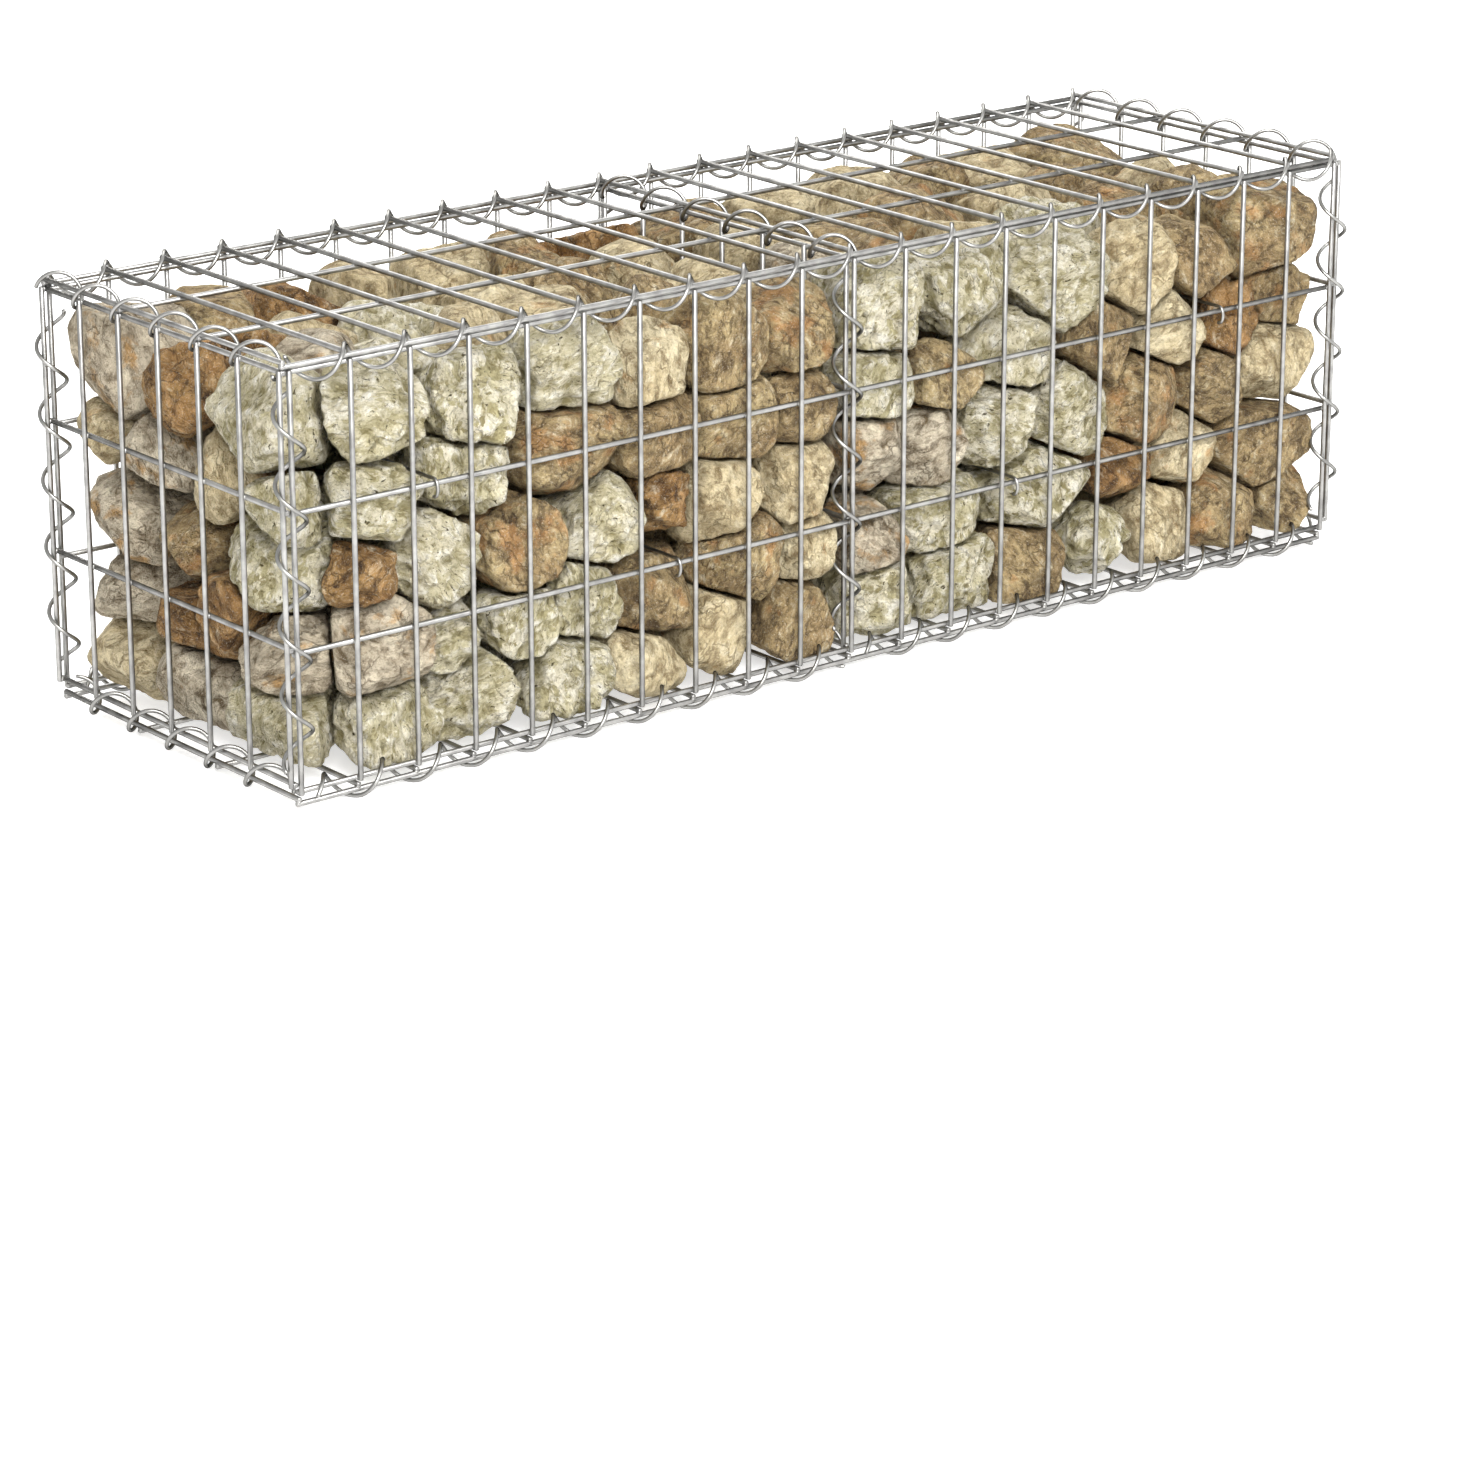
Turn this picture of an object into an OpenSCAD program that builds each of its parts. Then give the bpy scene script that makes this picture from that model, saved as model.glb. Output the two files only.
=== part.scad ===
// Gabion wall unit: a welded wire mesh basket in two bays, laced along every edge with
// spiral wires, braced with cross ties and filled with stones in three lifts a bay.
// +X runs along the wall, the front faces -Y, and the unit stands on Z = 0 on the
// undersides of its bottom spirals. The origin is under the middle of the basket.

/* [Basket] */
// Length of the basket over both bays
basket_l = 1000; // [800:50:1200]
// Depth of the basket from front mesh to back mesh
basket_w = 300; // [250:50:400]
// Height of the basket between the edge wires of the front mesh
basket_h = 300; // [250:50:400]

/* [Mesh] */
// Spacing of the wires that stand close together
mesh_close = 50; // [45:5:60]
// Spacing of the rows that lie far apart
mesh_wide = 100; // [90:5:120]
// Thickness of the mesh wire
wire_d = 4; // [3.5:0.1:4.4]

/* [Lacing spirals] */
// Thickness of the spiral wire
spiral_wire = 3; // [2.5:0.1:3.4]
// Radius of the spiral to the middle of its wire
spiral_r = 10.4; // [10.2:0.1:11.2]

/* [Cross ties] */
// Thickness of the tie wire
tie_d = 2.6; // [2.2:0.1:3]
// Distance of the inner pair of ties from the middle of the wall
tie_inner = 165; // [155:5:195]
// Distance of the outer pair of ties from the middle of the wall
tie_outer = 380; // [330:5:395]

/* [Stone fill] */
// Drop from the top row of the mesh to the top of the stones
fill_drop = 25; // [20:1:60]
// Bevel along the edges of the stone fill, which clears the spirals
fill_bevel = 17; // [16:1:30]

/* [Hidden] */

galvanised = "#c6c6cc";
bright_wire = "#dcdce2";
stone = "#b5a88a";

air = 0.2;                      // room between wires that only lie together
weld_lap = 0.16;                // depth by which crossing wires are fused
wire_r = wire_d / 2;
wire_flat = wire_r * cos(30);   // half the distance between two flats of a mesh bar
half_layer = wire_flat - weld_lap / 2;
stack = half_layer + wire_flat; // from the weld plane of a panel to its outer flats
stub_trim = 0.1;                // the long rows end just inside the corner bars

cells_l = 2 * round(basket_l / 2 / mesh_close);
cells_w = round(basket_w / mesh_close);
rows_h = round(basket_h / mesh_wide);
rows_w = round(basket_w / mesh_wide);
pitch_l = basket_l / cells_l;
pitch_w = basket_w / cells_w;
pitch_h = basket_h / rows_h;
pitch_post = pitch_h / round(pitch_h / mesh_close);

half_l = basket_l / 2;
half_w = basket_w / 2;

// Weld planes of the panels, before the unit is lifted on to Z = 0
base_air = 1.2;
base_shift = -1.5;
base_z = -wire_r - base_air - stack;
base_edge_z = base_z - half_layer;
base_cross_z = base_z + half_layer;
lid_air = 0.6;
lid_shift = -3;
lid_extra = 3;
lid_z = basket_h + wire_r + lid_air + stack;
lid_cross_z = lid_z + half_layer;
end_x = half_l + wire_r + air + stack;
end_low = 6.2;
end_high = lid_z - stack - wire_r - air;
end_bar_x = end_x + half_layer;
divider_half_w = half_w - stack - wire_r - air;
divider_low = 1;
divider_high = basket_h;

// Distance from a spiral's axis to the wire that it hangs on
spiral_steps = 8;
tube_sides = 5;
spiral_air = 0.3;
reach = spiral_r * cos(180 / spiral_steps) - spiral_wire / 2 - wire_r - spiral_air;
top_axis_z = lid_cross_z - reach;
edge_axis_z = base_edge_z + reach;
cross_axis_z = base_cross_z + reach;
long_axis_in = 0.5;             // the long spirals lie just inside the front and back
left_axis_in = 3.1;             // the end spirals lie inside the weld planes of the ends
right_axis_in = 4.7;
post_slack = 0.4;               // room of a post spiral on the close bars of the ends
post_axis_out = 0.8;            // the corner posts lie just outside the front and back
edge_axis_y = half_w - long_axis_in;
left_axis_x = left_axis_in - end_x;
right_axis_x = end_x - right_axis_in;
divider_axis_x = -1;
post_axis_x = end_bar_x - reach - post_slack;
post_axis_y = half_w + post_axis_out;
divider_post_y = half_w + half_layer - reach - air;
spiral_inset = 13;              // spirals along the depth stop short of the long ones
post_inset = 12;
bay_end_gap = 3;

// Lift of the whole unit, so that the bottom spirals touch Z = 0
lift = spiral_r + spiral_wire / 2 - edge_axis_z;

// Stone fill
fill_air = 0.3;                 // room between the stones and the mesh beside them
fill_front = half_w - stack - fill_air;
fill_end_gap = 4;
fill_end = half_l - fill_end_gap;
fill_middle = 8;
fill_floor = base_z + stack + fill_air;
fill_top = basket_h - fill_drop;
tie_rise = wire_r + tie_d / 2 + air;
tie_air = 0.4;                  // room round a tie in its groove
joint_rise = tie_rise + tie_d / 2 + tie_air;
channel = tie_d + 2 * tie_air;

function row_z(i) = i * pitch_h;
function unit(v) = v / norm(v);

// ---- Welded mesh -------------------------------------------------------------------

// A six-sided bar of the given length along X or Y, with flats above and below
module bar_x(length) {
    rotate([0, 90, 0]) rotate([0, 0, 30]) cylinder(r = wire_r, h = length, center = true, $fn = 6);
}

module bar_y(length) {
    rotate([90, 0, 0]) cylinder(r = wire_r, h = length, center = true, $fn = 6);
}

// A welded panel in XY: close bars along Y on top, wide rows along X under them
module mesh_panel(length, depth, cells, rows, stub_x, stub_y) {
    union() {
        for (i = [0 : cells])
            translate([(i / cells - 0.5) * length, 0, half_layer]) bar_y(depth + 2 * stub_y);
        for (k = [0 : rows])
            translate([0, (k / rows - 0.5) * depth, -half_layer]) bar_x(length + 2 * stub_x);
    }
}

module long_side() {
    translate([0, 0, basket_h / 2]) rotate([90, 0, 0])
        mesh_panel(basket_l, basket_h, cells_l, rows_h, wire_r - stub_trim, wire_r);
}

module front_panel() {
    color(galvanised) translate([0, -half_w, lift]) long_side();
}

module back_panel() {
    color(galvanised) translate([0, half_w, lift]) rotate([0, 0, 180]) long_side();
}

module base_panel() {
    color(galvanised) translate([base_shift, 0, base_z + lift])
        mesh_panel(basket_l, basket_w, cells_l, rows_w, wire_r, wire_r);
}

module lid_panel() {
    color(galvanised) translate([lid_shift, 0, lid_z + lift])
        mesh_panel(basket_l + lid_extra, basket_w, cells_l, rows_w, wire_r, wire_r);
}

module end_side() {
    translate([0, 0, (end_low + end_high) / 2]) rotate([90, 0, 0])
        mesh_panel(basket_w, end_high - end_low, cells_w, rows_h, wire_r, wire_r);
}

module left_end_panel() {
    color(galvanised) translate([-end_x, 0, lift]) rotate([0, 0, -90]) end_side();
}

module right_end_panel() {
    color(galvanised) translate([end_x, 0, lift]) rotate([0, 0, 90]) end_side();
}

module divider_panel() {
    depth = divider_high - divider_low;
    color(galvanised) translate([0, 0, divider_low + depth / 2 + lift]) rotate([0, 0, -90])
        rotate([90, 0, 0])
            mesh_panel(2 * divider_half_w, depth, cells_w, rows_h, wire_r, wire_r);
}

// ---- Bent wire ---------------------------------------------------------------------

function along(pts, i) = unit(pts[min(i + 1, len(pts) - 1)] - pts[max(i - 1, 0)]);

function section(p, out, t, r) = let (
        side = unit(cross(t, out)),
        face = cross(side, t)
    ) [for (k = [0 : tube_sides - 1]) p + r * (cos(360 * k / tube_sides) * face
        + sin(360 * k / tube_sides) * side)];

// A wire through the points, with an outward direction for each
module bent_wire(pts, outs, r) {
    n = len(pts);
    m = tube_sides;
    corners = [for (i = [0 : n - 1]) each section(pts[i], outs[i], along(pts, i), r)];
    walls = [for (i = [0 : n - 2], k = [0 : m - 1]) let (
            a = i * m + k,
            b = i * m + (k + 1) % m
        ) each [[a, b, b + m], [a, b + m, a + m]]];
    caps = [[for (k = [m - 1 : -1 : 0]) k], [for (k = [0 : m - 1]) (n - 1) * m + k]];
    polyhedron(points = corners, faces = concat(walls, caps));
}

// Angle of a left-hand spiral at s, with its crest (angle 0) at the given place
function turn(s, crest, pitch) = -360 * (s - crest) / pitch;

// A spiral wire along dir from s = a to b. Up is the direction of its crests.
module spiral(axis, dir, up, a, b, pitch, crest) {
    side = cross(dir, up);
    step = pitch / spiral_steps;
    first = ceil((a - crest) / step);
    last = floor((b - crest) / step);
    spots = [for (i = [first : last]) crest + i * step];
    outs = [for (s = spots) let (t = turn(s, crest, pitch)) cos(t) * up + sin(t) * side];
    pts = [for (i = [0 : len(spots) - 1]) axis + spots[i] * dir + spiral_r * outs[i]];
    color(bright_wire) translate([0, 0, lift]) bent_wire(pts, outs, spiral_wire / 2);
}

// Places of the crests, from a wire of the mesh and as shares of the pitch
crest_top = -pitch_l * 0.06;
crest_bottom = pitch_l * 0.4;
crest_end = pitch_w * 0.69 - half_w;
crest_front_post = pitch_post * 0.83;
crest_back_post = pitch_post * 0.7;
crest_left_back_post = pitch_post * 0.55;

module long_spiral(side, level, bay) {
    z = level > 0 ? top_axis_z : edge_axis_z;
    crest = level > 0 ? crest_top : crest_bottom;
    a = bay < 0 ? -half_l + bay_end_gap : bay_end_gap;
    spiral([0, side * edge_axis_y, z], [1, 0, 0], [0, 0, 1], a,
        a + half_l - 2 * bay_end_gap, pitch_l, crest);
}

module cross_spiral(x, z) {
    spiral([x, 0, z], [0, 1, 0], [0, 0, 1], -half_w + spiral_inset,
        half_w - spiral_inset, pitch_w, crest_end);
}

module post_spiral(x, y, crest) {
    spiral([x, y, 0], [0, 0, 1], [1, 0, 0], post_inset, basket_h - post_inset,
        pitch_post, crest);
}

module spiral_front_top_left() { long_spiral(-1, 1, -1); }
module spiral_front_top_right() { long_spiral(-1, 1, 1); }
module spiral_front_bottom_left() { long_spiral(-1, -1, -1); }
module spiral_front_bottom_right() { long_spiral(-1, -1, 1); }
module spiral_back_top_left() { long_spiral(1, 1, -1); }
module spiral_back_top_right() { long_spiral(1, 1, 1); }
module spiral_back_bottom_left() { long_spiral(1, -1, -1); }
module spiral_back_bottom_right() { long_spiral(1, -1, 1); }
module spiral_left_end_top() { cross_spiral(left_axis_x, top_axis_z); }
module spiral_left_end_bottom() { cross_spiral(left_axis_x, cross_axis_z); }
module spiral_left_end_front() { post_spiral(-post_axis_x, -post_axis_y, crest_front_post); }
module spiral_left_end_back() { post_spiral(-post_axis_x, post_axis_y, crest_left_back_post); }
module spiral_divider_top() { cross_spiral(divider_axis_x, top_axis_z); }
module spiral_divider_bottom() { cross_spiral(divider_axis_x, cross_axis_z); }
module spiral_divider_front() {
    post_spiral(divider_axis_x, -divider_post_y, crest_front_post);
}
module spiral_divider_back() { post_spiral(divider_axis_x, divider_post_y, crest_back_post); }
module spiral_right_end_top() { cross_spiral(right_axis_x, top_axis_z); }
module spiral_right_end_bottom() { cross_spiral(right_axis_x, cross_axis_z); }
module spiral_right_end_front() { post_spiral(post_axis_x, -post_axis_y, crest_front_post); }
module spiral_right_end_back() { post_spiral(post_axis_x, post_axis_y, crest_back_post); }

// ---- Cross ties --------------------------------------------------------------------

tail_splay = 0.9;               // the tail springs open from the row wire
tail_length = 11;
crown_slack = 0.1;              // the bend stands this far off the row wire
straight_from = 5;
straight_to = 30;

// Half of a tie in YZ from its hooked tail to the middle, round the row wire at [0, 0]
tie_hook = [
    [-tie_rise - tail_splay, -tail_length],
    [-tie_rise - tail_splay, -tail_length / 2],
    [-tie_rise - crown_slack, 0],
    [-tie_rise * 0.76, tie_rise * 0.76],
    [0, tie_rise + crown_slack],
    [straight_from, tie_rise],
    [straight_to, tie_rise]
];

module tie(x, row) {
    y = half_w - half_layer;
    z = row_z(row) + lift;
    front = [for (p = tie_hook) [x, p[0] - y, p[1] + z]];
    back = [for (i = [len(tie_hook) - 1 : -1 : 0])
        [x, y - tie_hook[i][0], tie_hook[i][1] + z]];
    pts = concat(front, back);
    color(bright_wire) bent_wire(pts, [for (p = pts) [1, 0, 0]], tie_d / 2);
}

tie_low_row = 1;
tie_high_row = rows_h - 1;
module tie_left_outer() { tie(-tie_outer, tie_high_row); }
module tie_left_inner() { tie(-tie_inner, tie_low_row); }
module tie_right_inner() { tie(tie_inner, tie_low_row); }
module tie_right_outer() { tie(tie_outer, tie_high_row); }

// ---- Stone fill --------------------------------------------------------------------

// Outline with bevelled corners
module bevelled(a, b, c, d) {
    e = fill_bevel;
    polygon([[a + e, c], [b - e, c], [b, c + e], [b, d - e],
        [b - e, d], [a + e, d], [a, d - e], [a, c + e]]);
}

// The whole fill of one bay: bevelled in plan, in front view and in end view
module bay_fill() {
    intersection() {
        translate([0, 0, fill_floor]) linear_extrude(fill_top - fill_floor)
            bevelled(fill_middle, fill_end, -fill_front, fill_front);
        rotate([90, 0, 0]) linear_extrude(2 * half_w, center = true)
            bevelled(fill_middle, fill_end, fill_floor, fill_top);
        rotate([90, 0, 90]) linear_extrude(half_l)
            bevelled(-fill_front, fill_front, fill_floor, fill_top);
    }
}

module in_bay(bay) {
    if (bay < 0) mirror([1, 0, 0]) children();
    else children();
}

// One lift of stones in one bay, grooved on top where a tie lies
module stone_lift(bay, low, high, tie_x, tie_row) {
    color(stone) translate([0, 0, lift]) in_bay(bay) difference() {
        intersection() {
            bay_fill();
            translate([0, -half_w, low]) cube([half_l, basket_w, high - low]);
        }
        translate([tie_x, 0, row_z(tie_row) + tie_rise + channel / 2])
            cube([channel, basket_w, 2 * channel], center = true);
    }
}

lift_joint_low = row_z(tie_low_row) + joint_rise;
lift_joint_high = row_z(tie_high_row) + joint_rise;

module stones(bay, level) {
    if (level == 0) stone_lift(bay, fill_floor, lift_joint_low, tie_inner, tie_low_row);
    if (level == 1) stone_lift(bay, lift_joint_low, lift_joint_high, tie_outer, tie_high_row);
    if (level == 2) stone_lift(bay, lift_joint_high, fill_top, tie_outer, rows_h + 1);
}

module stones_left_lower() { stones(-1, 0); }
module stones_left_middle() { stones(-1, 1); }
module stones_left_upper() { stones(-1, 2); }
module stones_right_lower() { stones(1, 0); }
module stones_right_middle() { stones(1, 1); }
module stones_right_upper() { stones(1, 2); }

base_panel();
lid_panel();
front_panel();
back_panel();
left_end_panel();
right_end_panel();
divider_panel();
spiral_front_top_left();
spiral_front_top_right();
spiral_front_bottom_left();
spiral_front_bottom_right();
spiral_back_top_left();
spiral_back_top_right();
spiral_back_bottom_left();
spiral_back_bottom_right();
spiral_left_end_top();
spiral_left_end_bottom();
spiral_left_end_front();
spiral_left_end_back();
spiral_divider_top();
spiral_divider_bottom();
spiral_divider_front();
spiral_divider_back();
spiral_right_end_top();
spiral_right_end_bottom();
spiral_right_end_front();
spiral_right_end_back();
tie_left_outer();
tie_left_inner();
tie_right_inner();
tie_right_outer();
stones_left_lower();
stones_left_middle();
stones_left_upper();
stones_right_lower();
stones_right_middle();
stones_right_upper();
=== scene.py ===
# %% [markdown]
# # A gabion wall unit
# A gabion is a basket of welded wire mesh filled with stones, used for garden walls. The
# basket is laced along its edges with spiral wires, and the stones do the holding up. The
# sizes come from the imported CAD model, so the wires lie where the CAD put them, apart from
# three top spirals that are noted below. This lesson makes the wires round, lays the stones
# in courses, and gives both their finishes.

# %% Load the CAD frame
import math

import bpy
import numpy as np
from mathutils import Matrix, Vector


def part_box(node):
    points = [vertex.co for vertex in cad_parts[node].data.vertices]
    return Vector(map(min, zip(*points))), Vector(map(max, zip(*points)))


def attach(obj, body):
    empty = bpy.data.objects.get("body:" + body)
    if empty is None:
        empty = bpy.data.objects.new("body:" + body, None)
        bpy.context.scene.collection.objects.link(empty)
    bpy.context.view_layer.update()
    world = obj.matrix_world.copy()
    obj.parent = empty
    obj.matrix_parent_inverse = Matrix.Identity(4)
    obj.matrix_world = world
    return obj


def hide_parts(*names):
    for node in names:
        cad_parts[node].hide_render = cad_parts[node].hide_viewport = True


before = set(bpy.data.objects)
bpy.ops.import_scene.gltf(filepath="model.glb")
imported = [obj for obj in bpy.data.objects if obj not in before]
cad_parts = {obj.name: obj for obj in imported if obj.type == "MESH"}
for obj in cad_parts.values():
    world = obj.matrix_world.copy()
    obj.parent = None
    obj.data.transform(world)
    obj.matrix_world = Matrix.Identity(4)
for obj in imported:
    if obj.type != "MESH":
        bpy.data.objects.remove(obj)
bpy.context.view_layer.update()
MM = 0.001
print("CAD nodes:", len(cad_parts))

# %% [markdown]
# The viewpoint is settled first. The wall is seen from its front left, a little from above,
# through a long lens, so that its edges run nearly parallel: about 120 mm on a full-frame
# camera, about four metres away. The aim is below the wall, which sets it high in the frame.

# %% Camera
VIEW_AZIMUTH = math.radians(39.24)
VIEW_FALL = math.radians(19.24)
VIEW_DISTANCE = 3.897
AIM = Vector((0.011, 0, -0.097))
LENS_MM, SENSOR_MM = 121.9, 36
FAR_CLIP = 60               # metres

line_of_sight = Vector((
    math.sin(VIEW_AZIMUTH) * math.cos(VIEW_FALL),
    math.cos(VIEW_AZIMUTH) * math.cos(VIEW_FALL),
    -math.sin(VIEW_FALL),
))
camera = bpy.data.objects.new("camera", bpy.data.cameras.new("camera"))
bpy.context.scene.collection.objects.link(camera)
camera.data.sensor_width = SENSOR_MM
camera.data.lens = LENS_MM
camera.location = AIM - line_of_sight * VIEW_DISTANCE
camera.rotation_euler = line_of_sight.to_track_quat("-Z", "Y").to_euler()
camera.data.clip_end = FAR_CLIP
bpy.context.scene.camera = camera
print("camera at", [round(c, 3) for c in camera.location])

# %% [markdown]
# A material is a small graph of nodes. One function adds a node, sets its own settings and
# fills its sockets, each with a value or with another node's output. Colours are noted as
# the sRGB hex values a paint chart gives, and one function turns them into linear light.

# %% Helpers for materials
def linear(hex_colour):
    """The linear colour, with alpha, of an sRGB hex value."""
    parts = [int(hex_colour[i:i + 2], 16) / 255 for i in (1, 3, 5)]
    return [c / 12.92 if c <= 0.04045 else ((c + 0.055) / 1.055) ** 2.4 for c in parts] + [1]


def add(material, kind, inputs=None, **settings):
    """Adds a node to a material, with its settings and its sockets, by name or number."""
    tree = material.node_tree
    made = tree.nodes.new(kind)
    for name, value in settings.items():
        setattr(made, name, value)
    for name, value in (inputs or {}).items():
        if isinstance(value, bpy.types.NodeSocket):
            tree.links.new(value, made.inputs[name])
        else:
            made.inputs[name].default_value = value
    return made


def new_material(name):
    """An empty material that uses nodes."""
    material = bpy.data.materials.new(name)
    material.use_nodes = True
    material.node_tree.nodes.clear()
    return material


def per_metre(size_mm):
    """The texture scale that makes features of this size, in millimetres."""
    return 1000 / size_mm


MIX_A, MIX_B, MIX_OUT = 6, 7, 2     # the colour sockets of a Mix node

# %% [markdown]
# The mesh is mild steel wire, hot-dip galvanised: drawn, welded, then dipped in zinc. To the
# eye the zinc is a dull, neutral grey with soft highlights and faint clouds where it ran and
# weathered. The lacing spirals and the ties are of wire that was galvanised and drawn again,
# so they are smoother and a little darker. All are metals, so the colour is in the
# reflection and their edges darken a little, which the specular tint sets.

# %% Wire finishes
def zinc(name, light, dark, edge, smooth, rough, cloud_mm, grit_mm, dent_mm):
    """A zinc finish with clouds and fine grit in its colour, gloss and surface."""
    m = new_material(name)
    place = add(m, "ShaderNodeTexCoord").outputs["Object"]
    clouds = add(m, "ShaderNodeTexNoise", {
        "Vector": place, "Scale": per_metre(cloud_mm), "Detail": 3.0, "Roughness": 0.6})
    grit = add(m, "ShaderNodeTexNoise", {
        "Vector": place, "Scale": per_metre(grit_mm), "Detail": 2.0, "Roughness": 0.7})
    shade = add(m, "ShaderNodeMapRange", {
        "Value": clouds.outputs["Fac"], "From Min": 0.35, "From Max": 0.65})
    colour = add(m, "ShaderNodeMix", {
        0: shade.outputs["Result"], MIX_A: linear(dark), MIX_B: linear(light)},
        data_type="RGBA")
    gloss = add(m, "ShaderNodeMapRange", {
        "Value": grit.outputs["Fac"], "From Min": 0.3, "From Max": 0.7,
        "To Min": smooth, "To Max": rough})
    dents = add(m, "ShaderNodeBump", {
        "Height": grit.outputs["Fac"], "Strength": 0.6, "Distance": dent_mm * MM})
    shader = add(m, "ShaderNodeBsdfPrincipled", {
        "Base Color": colour.outputs[MIX_OUT], "Metallic": 1.0,
        "Roughness": gloss.outputs["Result"], "Specular Tint": linear(edge),
        "Normal": dents.outputs["Normal"]})
    add(m, "ShaderNodeOutputMaterial", {"Surface": shader.outputs["BSDF"]})
    return m


galvanised_mesh = zinc("galvanised_mesh_steel", "#ACABA8", "#8D8C8A", "#3E3E3E",
                       0.31, 0.44, 14, 1.6, 0.02)
drawn_spiral = zinc("drawn_galvanised_spiral_steel", "#A2A19E", "#888784", "#303030",
                     0.30, 0.38, 22, 1.4, 0.004)
tie_steel = zinc("drawn_galvanised_tie_steel", "#A2A19E", "#888784", "#303030",
                 0.30, 0.38, 18, 1.4, 0.004)
print("wire finishes:", galvanised_mesh.name, drawn_spiral.name, tie_steel.name)

# %% [markdown]
# Every wire is a tube swept along a path. A ring of points is set square to the path at
# each of its points, rings are joined by quads, and the ends are closed with a slightly
# rounded cap, as a cropped and dipped wire has. Tubes of one panel are gathered in a list
# and joined into one mesh, because the basket has hundreds of them.

# %% Tubes and joined meshes
CAP_DEPTH = 0.35            # of the radius: how far before its end a wire starts to round
TIP_SIZE = 0.72             # of the radius: what is left of it at the very end


def tube(path, radius, sides, out=(0, 0, 1)):
    """Points and quads of a tube along a path. Out is a direction that the path never takes."""
    path = np.asarray(path, float)
    step = np.gradient(path, axis=0)
    step /= np.linalg.norm(step, axis=1, keepdims=True)
    out = np.broadcast_to(np.asarray(out, float), path.shape)
    side = np.cross(step, out)
    side /= np.linalg.norm(side, axis=1, keepdims=True)
    face = np.cross(side, step)
    crop = CAP_DEPTH * radius
    path = np.vstack([path[:1], path[:1] + step[:1] * crop, path[1:-1],
                      path[-1:] - step[-1:] * crop, path[-1:]])
    twice = [0, *range(len(step)), len(step) - 1]
    side, face = side[twice], face[twice]
    size = np.full(len(path), radius)
    size[[0, -1]] = radius * TIP_SIZE
    turn = np.arange(sides) * 2 * np.pi / sides
    ring = (np.cos(turn)[None, :, None] * face[:, None]
            + np.sin(turn)[None, :, None] * side[:, None])
    points = (path[:, None] + size[:, None, None] * ring).reshape(-1, 3)
    k = np.arange(sides)
    quads = []
    for i in range(len(path) - 1):
        a, b = i * sides + k, i * sides + (k + 1) % sides
        quads.append(np.stack([a, b, b + sides, a + sides], 1))
    caps = [list(k[::-1]), list((len(path) - 1) * sides + k)]
    return points, [list(q) for q in np.vstack(quads)] + caps


def joined(name, parts, material, node):
    """One smooth mesh object from many parts, standing for a CAD node."""
    points, faces, first = [], [], 0
    for p, f in parts:
        points.append(p)
        faces += [[int(v) + first for v in face] for face in f]
        first += len(p)
    mesh = bpy.data.meshes.new(name)
    mesh.from_pydata(np.vstack(points).tolist(), [], faces)
    mesh.shade_smooth()
    mesh.materials.append(material)
    piece = bpy.data.objects.new(name, mesh)
    bpy.context.scene.collection.objects.link(piece)
    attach(piece, "root")
    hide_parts(node)
    return piece


# %% [markdown]
# A mesh panel is two layers of straight wires welded where they cross: close bars, 50 mm
# apart, on one side, and rows, 100 mm apart, on the other. The welder presses the layers
# into each other and squeezes out a little steel, so each crossing gets a small flattened
# bead. The CAD node's box gives the outer bars; the others are spread evenly between.

# %% Welded mesh panels
WIRE_R = 2.0 * MM
WELD_LAP = 0.16 * MM
FLAT_SHARE = math.cos(math.radians(30))     # the CAD's bars are six-sided and lie on their flats
HALF_LAYER = WIRE_R * FLAT_SHARE - WELD_LAP / 2
BAR_SIDES = 12
LONG_CELLS, DEEP_CELLS, ROWS = 20, 6, 3
BEAD_AROUND, BEAD_UP = 8, 5
BEAD_WIDTH, BEAD_HEIGHT = 1.28, 0.75    # of the wire's radius


def bead(centre, axis):
    """A small flattened ball that stands for the steel squeezed out at a weld."""
    around, up = BEAD_AROUND, BEAD_UP
    points, quads = [], []
    for j in range(up):
        tilt = math.pi * (j + 0.5) / up
        for i in range(around):
            turn = 2 * math.pi * i / around
            points.append([math.sin(tilt) * math.cos(turn), math.sin(tilt) * math.sin(turn),
                           math.cos(tilt)])
    for j in range(up - 1):
        for i in range(around):
            a, b = j * around + i, j * around + (i + 1) % around
            quads.append([a, a + around, b + around, b])
    quads += [list(range(around)), list(range((up - 1) * around, up * around))[::-1]]
    size = np.full(3, BEAD_WIDTH * WIRE_R)
    size[axis] = BEAD_HEIGHT * WIRE_R
    return np.array(points) * size + centre, quads


def welded_panel(node, normal, spread, cells, close_side):
    """The round wires of one panel. Normal is the axis through it, spread the axis along
    which its close bars stand side by side, and close_side the side that they are on."""
    low, high = (np.array(c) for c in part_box(node))
    bar = 3 - normal - spread
    weld_plane = (low[normal] + high[normal]) / 2
    close_at = np.linspace(low[spread] + WIRE_R, high[spread] - WIRE_R, cells + 1)
    rows_at = np.linspace(low[bar] + WIRE_R, high[bar] - WIRE_R, ROWS + 1)
    out = np.eye(3)[normal]
    parts = []
    for s in close_at:
        ends = np.zeros((2, 3))
        ends[:, normal] = weld_plane + close_side * HALF_LAYER
        ends[:, spread] = s
        ends[:, bar] = low[bar], high[bar]
        parts.append(tube(ends, WIRE_R, BAR_SIDES, out))
    for r in rows_at:
        ends = np.zeros((2, 3))
        ends[:, normal] = weld_plane - close_side * HALF_LAYER
        ends[:, bar] = r
        ends[:, spread] = low[spread], high[spread]
        parts.append(tube(ends, WIRE_R, BAR_SIDES, out))
    for s in close_at:
        for r in rows_at:
            spot = np.zeros(3)
            spot[normal], spot[spread], spot[bar] = weld_plane, s, r
            parts.append(bead(spot, normal))
    return joined(node + "_wires", parts, galvanised_mesh, node)


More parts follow.
